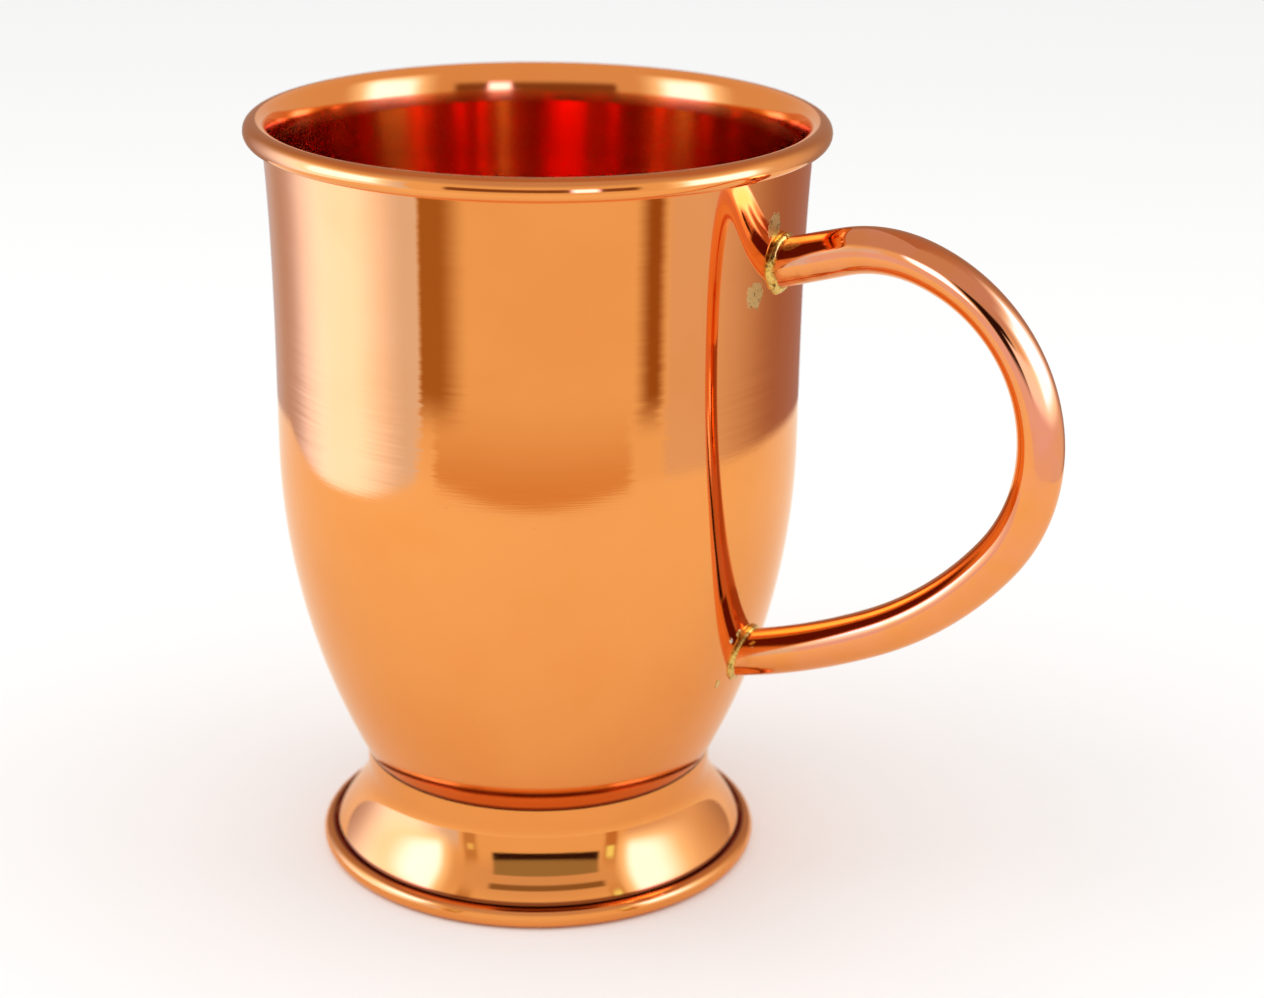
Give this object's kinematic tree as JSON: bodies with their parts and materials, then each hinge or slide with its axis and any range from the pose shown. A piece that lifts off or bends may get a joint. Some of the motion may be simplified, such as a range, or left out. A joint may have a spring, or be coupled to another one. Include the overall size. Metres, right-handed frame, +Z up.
{
  "type": "copper mug",
  "caption": "Footed drinking mug of spun copper: rounded cup with a rolled rim, flared foot ring with a bead, and a bent tube handle brazed to its side.",
  "frame": {"origin": "on the table, under the middle of the whole outline, handle included; the cup's own axis stands 21 mm from it, at x = -0.0210, y = 0", "axes": "+Z up along the cup's axis, +X from the cup towards its handle, +Y to the left of someone who looks from the cup along the handle"},
  "size_m": [0.132, 0.09, 0.1212],
  "materials": {
    "cup_copper": "polished copper with fine brushing round the cup",
    "foot_copper": "polished copper",
    "tube_copper": "polished copper tube with small pits",
    "braze": "brass filler as it cooled, slightly rough"
  },
  "bodies": {
    "root": {"cup_body": "cup_copper", "foot_ring": "foot_copper", "handle_tube": "tube_copper", "foot_braze": "braze", "upper_braze": "braze", "lower_braze": "braze"}
  },
  "joints": []
}
